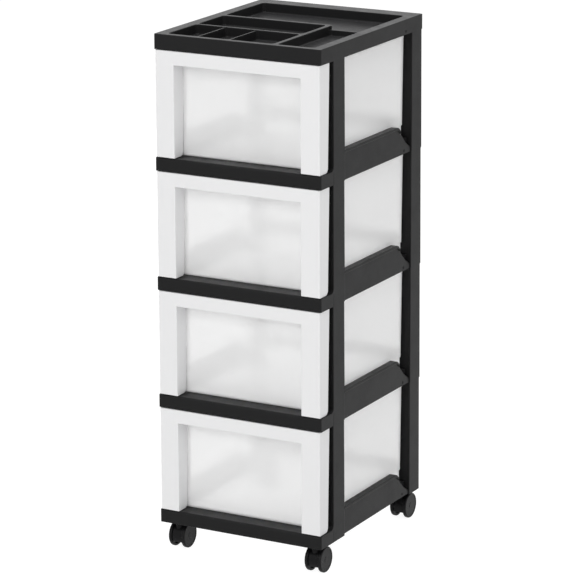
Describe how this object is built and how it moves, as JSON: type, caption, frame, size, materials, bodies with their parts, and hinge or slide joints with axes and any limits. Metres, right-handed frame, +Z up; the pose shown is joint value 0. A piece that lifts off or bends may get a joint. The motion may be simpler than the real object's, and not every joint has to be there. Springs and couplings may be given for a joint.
{
  "type": "rolling drawer tower",
  "caption": "Tall rolling storage tower: stacked black plastic frames carrying frosted pull-out drawers with white fronts, a compartment tray top and twin-wheel casters.",
  "frame": {"origin": "on the floor, midway between the side faces and between the front and rear faces of the tower", "axes": "+Z up, -Y out of the drawer fronts, +X to the tower's right as seen from the front"},
  "size_m": [0.306, 0.368, 0.883],
  "materials": {
    "black_plastic": "moulded polypropylene with a fine satin grain",
    "white_plastic": "smooth opaque white moulding",
    "frosted_plastic": "translucent frosted polypropylene",
    "caster_plastic": "moulded nylon",
    "steel": "plain bright pin"
  },
  "bodies": {
    "cabinet": {"organizer_top": "black_plastic", "base_frame": "black_plastic", "shelf_frame_1": "black_plastic", "shelf_frame_2": "black_plastic", "shelf_frame_3": "black_plastic"},
    "drawer_1": {"drawer_bin_1": "frosted_plastic", "drawer_front_1": "white_plastic"},
    "drawer_2": {"drawer_bin_2": "frosted_plastic", "drawer_front_2": "white_plastic"},
    "drawer_3": {"drawer_bin_3": "frosted_plastic", "drawer_front_3": "white_plastic"},
    "drawer_4": {"drawer_bin_4": "frosted_plastic", "drawer_front_4": "white_plastic"},
    "caster_front_left": {"caster_stem_front_left": "steel", "caster_hood_front_left": "caster_plastic", "caster_axle_front_left": "steel"},
    "outer_wheel_front_left": {"wheel_outer_front_left": "caster_plastic"},
    "inner_wheel_front_left": {"wheel_inner_front_left": "caster_plastic"},
    "caster_front_right": {"caster_stem_front_right": "steel", "caster_hood_front_right": "caster_plastic", "caster_axle_front_right": "steel"},
    "outer_wheel_front_right": {"wheel_outer_front_right": "caster_plastic"},
    "inner_wheel_front_right": {"wheel_inner_front_right": "caster_plastic"},
    "caster_rear_left": {"caster_stem_rear_left": "steel", "caster_hood_rear_left": "caster_plastic", "caster_axle_rear_left": "steel"},
    "outer_wheel_rear_left": {"wheel_outer_rear_left": "caster_plastic"},
    "inner_wheel_rear_left": {"wheel_inner_rear_left": "caster_plastic"},
    "caster_rear_right": {"caster_stem_rear_right": "steel", "caster_hood_rear_right": "caster_plastic", "caster_axle_rear_right": "steel"},
    "outer_wheel_rear_right": {"wheel_outer_rear_right": "caster_plastic"},
    "inner_wheel_rear_right": {"wheel_inner_rear_right": "caster_plastic"}
  },
  "joints": [
    {"name": "drawer_1_slide", "type": "slide", "parent": "cabinet", "child": "drawer_1", "axis": [0, -1, 0], "range_m": [0, 0.23]},
    {"name": "drawer_2_slide", "type": "slide", "parent": "cabinet", "child": "drawer_2", "axis": [0, -1, 0], "range_m": [0, 0.23]},
    {"name": "drawer_3_slide", "type": "slide", "parent": "cabinet", "child": "drawer_3", "axis": [0, -1, 0], "range_m": [0, 0.23]},
    {"name": "drawer_4_slide", "type": "slide", "parent": "cabinet", "child": "drawer_4", "axis": [0, -1, 0], "range_m": [0, 0.23]},
    {"name": "caster_swivel_front_left", "type": "hinge", "parent": "cabinet", "child": "caster_front_left", "pos_m": [-0.13, -0.156, 0.05], "axis": [0, 0, 1], "continuous": true},
    {"name": "outer_wheel_spin_front_left", "type": "hinge", "parent": "caster_front_left", "child": "outer_wheel_front_left", "pos_m": [-0.13, -0.147, 0.022], "axis": [1, 0, 0], "continuous": true},
    {"name": "inner_wheel_spin_front_left", "type": "hinge", "parent": "caster_front_left", "child": "inner_wheel_front_left", "pos_m": [-0.13, -0.147, 0.022], "axis": [1, 0, 0], "continuous": true},
    {"name": "caster_swivel_front_right", "type": "hinge", "parent": "cabinet", "child": "caster_front_right", "pos_m": [0.13, -0.156, 0.05], "axis": [0, 0, 1], "continuous": true},
    {"name": "outer_wheel_spin_front_right", "type": "hinge", "parent": "caster_front_right", "child": "outer_wheel_front_right", "pos_m": [0.13, -0.147, 0.022], "axis": [1, 0, 0], "continuous": true},
    {"name": "inner_wheel_spin_front_right", "type": "hinge", "parent": "caster_front_right", "child": "inner_wheel_front_right", "pos_m": [0.13, -0.147, 0.022], "axis": [1, 0, 0], "continuous": true},
    {"name": "caster_swivel_rear_left", "type": "hinge", "parent": "cabinet", "child": "caster_rear_left", "pos_m": [-0.13, 0.156, 0.05], "axis": [0, 0, 1], "continuous": true},
    {"name": "outer_wheel_spin_rear_left", "type": "hinge", "parent": "caster_rear_left", "child": "outer_wheel_rear_left", "pos_m": [-0.13, 0.165, 0.022], "axis": [1, 0, 0], "continuous": true},
    {"name": "inner_wheel_spin_rear_left", "type": "hinge", "parent": "caster_rear_left", "child": "inner_wheel_rear_left", "pos_m": [-0.13, 0.165, 0.022], "axis": [1, 0, 0], "continuous": true},
    {"name": "caster_swivel_rear_right", "type": "hinge", "parent": "cabinet", "child": "caster_rear_right", "pos_m": [0.13, 0.156, 0.05], "axis": [0, 0, 1], "continuous": true},
    {"name": "outer_wheel_spin_rear_right", "type": "hinge", "parent": "caster_rear_right", "child": "outer_wheel_rear_right", "pos_m": [0.13, 0.165, 0.022], "axis": [1, 0, 0], "continuous": true},
    {"name": "inner_wheel_spin_rear_right", "type": "hinge", "parent": "caster_rear_right", "child": "inner_wheel_rear_right", "pos_m": [0.13, 0.165, 0.022], "axis": [1, 0, 0], "continuous": true}
  ]
}
